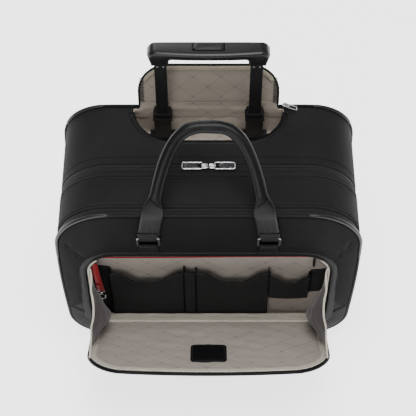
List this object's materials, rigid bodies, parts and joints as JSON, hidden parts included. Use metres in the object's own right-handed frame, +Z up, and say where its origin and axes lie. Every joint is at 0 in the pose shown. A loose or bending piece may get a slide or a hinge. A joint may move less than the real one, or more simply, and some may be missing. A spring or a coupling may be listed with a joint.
{
  "type": "rolling flight case",
  "caption": "Black cloth rolling pilot case with an open lined front pocket, open top well, telescopic handle, padded carry handle and wheels at the rear corners.",
  "frame": {"origin": "middle of the footprint, on the ground that the wheels and feet stand on", "axes": "+X to the case's right as seen from its front, +Y from the front pocket towards the rear panel, +Z up"},
  "size_m": [0.4276, 0.3728, 0.4921],
  "materials": {
    "shell_cloth": "tight black ballistic weave with a faint sheen",
    "black_leather": "fine-grained satin black leather",
    "beige_lining": "smooth woven lining with a pressed diamond pattern",
    "shaded_lining": "the same lining, deeper in the well and gussets",
    "black_plastic": "satin moulded black plastic",
    "zip_tape": "woven zip tape with moulded teeth",
    "stiff_board": "grey fibreboard stiffener",
    "tube_metal": "black anodised tube",
    "dark_metal": "dark nickel",
    "bright_metal": "polished nickel",
    "tyre": "matt black rubber",
    "red_strap": "red webbing and leather"
  },
  "bodies": {
    "case": {"rear_shell": "shell_cloth", "main_zip_rear_half": "zip_tape", "rear_piping": "black_plastic", "main_lining": "beige_lining", "back_board": "stiff_board", "base_plate": "black_plastic", "well_lining": "shaded_lining", "well_binding": "black_leather", "outer_tube_left": "tube_metal", "outer_tube_right": "tube_metal", "tube_bezel_left": "black_plastic", "tube_bezel_right": "black_plastic", "tube_foot_bracket": "black_plastic", "wheel_housing_left": "black_plastic", "wheel_housing_right": "black_plastic", "axle_left": "dark_metal", "axle_right": "dark_metal", "foot_left": "tyre", "foot_right": "tyre"},
    "well_flap": {"well_flap_panel": "beige_lining"},
    "well_zip_pull": {"well_zip_pull": "bright_metal"},
    "trolley_lower": {"lower_tube_left": "tube_metal", "lower_tube_right": "tube_metal"},
    "trolley_middle": {"middle_tube_left": "tube_metal", "middle_tube_right": "tube_metal"},
    "trolley_upper": {"upper_tube_left": "tube_metal", "upper_tube_right": "tube_metal", "grip": "black_plastic"},
    "grip_button": {"grip_button": "black_plastic"},
    "wheel_left": {"tyre_left": "tyre", "hub_left": "black_plastic"},
    "wheel_right": {"tyre_right": "tyre", "hub_right": "black_plastic"},
    "mid_section": {"mid_shell": "shell_cloth", "main_zip_front_half": "zip_tape", "front_zip_rear_half": "zip_tape", "divider_panel": "beige_lining"},
    "front_section": {"front_panel": "shell_cloth", "front_zip_front_half": "zip_tape", "front_piping": "black_plastic", "pocket_tub": "beige_lining", "phone_pocket_left": "black_leather", "pen_sleeve": "black_leather", "phone_pocket_right": "black_leather", "small_pocket": "black_leather", "gusset_left": "shaded_lining", "gusset_right": "shaded_lining", "handle_tab_left": "black_leather", "handle_tab_right": "black_leather"},
    "pocket_flap": {"pocket_flap_panel": "shell_cloth"},
    "handle_rings": {"ring_left": "dark_metal", "ring_right": "dark_metal"},
    "carry_handle": {"carry_handle": "black_leather"},
    "main_slider_left": {"main_slider_left": "bright_metal"},
    "main_slider_right": {"main_slider_right": "bright_metal"},
    "key_leash": {"key_leash": "red_strap"},
    "organizer_zip_pull": {"organizer_zip_pull": "black_leather"},
    "side_pull_left": {"side_pull_left": "bright_metal"},
    "side_pull_right_upper": {"side_pull_right_upper": "bright_metal"},
    "side_pull_right_lower": {"side_pull_right_lower": "bright_metal"}
  },
  "joints": [
    {"name": "trolley_lower_slide", "type": "slide", "parent": "case", "child": "trolley_lower", "axis": [0, 0, 1], "range_m": [-0.045, 0.145]},
    {"name": "trolley_middle_slide", "type": "slide", "parent": "trolley_lower", "child": "trolley_middle", "axis": [0, 0, 1], "range_m": [-0.004, 0.186]},
    {"name": "trolley_upper_slide", "type": "slide", "parent": "trolley_middle", "child": "trolley_upper", "axis": [0, 0, 1], "range_m": [-0.098, 0.092]},
    {"name": "grip_button_press", "type": "slide", "parent": "trolley_upper", "child": "grip_button", "axis": [0, 0, -1], "range_m": [0, 0.003], "stiffness_N_per_m": 400, "springref_m": -0.002},
    {"name": "wheel_left_spin", "type": "hinge", "parent": "case", "child": "wheel_left", "pos_m": [-0.188, 0.1462, 0.033], "axis": [1, 0, 0], "continuous": true},
    {"name": "wheel_right_spin", "type": "hinge", "parent": "case", "child": "wheel_right", "pos_m": [0.188, 0.1462, 0.033], "axis": [1, 0, 0], "continuous": true},
    {"name": "well_flap_hinge", "type": "hinge", "parent": "case", "child": "well_flap", "pos_m": [0, 0.1652, 0.3496], "axis": [-1, 0, 0], "range_deg": [-14, 60]},
    {"name": "well_zip_pull_swing", "type": "hinge", "parent": "case", "child": "well_zip_pull", "pos_m": [0.1103, 0.1599, 0.3453], "axis": [0, -1, 0], "range_deg": [0, 50]},
    {"name": "main_compartment_hinge", "type": "hinge", "parent": "case", "child": "mid_section", "pos_m": [0, -0.0158, 0.022], "axis": [1, 0, 0], "range_deg": [0, 12]},
    {"name": "front_compartment_hinge", "type": "hinge", "parent": "mid_section", "child": "front_section", "pos_m": [0, -0.0213, 0.022], "axis": [1, 0, 0], "range_deg": [0, 30]},
    {"name": "pocket_flap_hinge", "type": "hinge", "parent": "front_section", "child": "pocket_flap", "pos_m": [0, -0.0358, 0.0725], "axis": [1, 0, 0], "range_deg": [-56, 0], "deforming": ["gusset_left", "gusset_right"]},
    {"name": "ring_swing", "type": "hinge", "parent": "front_section", "child": "handle_rings", "pos_m": [0, -0.0378, 0.284], "axis": [1, 0, 0], "range_deg": [0, 60]},
    {"name": "carry_handle_swing", "type": "hinge", "parent": "handle_rings", "child": "carry_handle", "pos_m": [0, -0.0406, 0.30683], "axis": [1, 0, 0], "range_deg": [0, 60]},
    {"name": "main_slider_left_slide", "type": "slide", "parent": "case", "child": "main_slider_left", "axis": [-1, 0, 0], "range_m": [0, 0.1]},
    {"name": "main_slider_right_slide", "type": "slide", "parent": "case", "child": "main_slider_right", "axis": [1, 0, 0], "range_m": [0, 0.1]},
    {"name": "key_leash_swing", "type": "hinge", "parent": "front_section", "child": "key_leash", "pos_m": [-0.166, -0.0246, 0.214], "axis": [0, 1, 0], "range_deg": [-10, 4]},
    {"name": "organizer_zip_slide", "type": "slide", "parent": "front_section", "child": "organizer_zip_pull", "axis": [1, 0, 0], "range_m": [-0.28, 0]},
    {"name": "side_pull_left_slide", "type": "slide", "parent": "mid_section", "child": "side_pull_left", "axis": [0, 0, 1], "range_m": [-0.12, 0]},
    {"name": "side_pull_right_upper_slide", "type": "slide", "parent": "mid_section", "child": "side_pull_right_upper", "axis": [0, 0, 1], "range_m": [0, 0.03]},
    {"name": "side_pull_right_lower_slide", "type": "slide", "parent": "mid_section", "child": "side_pull_right_lower", "axis": [0, 0, 1], "range_m": [-0.12, 0]}
  ]
}
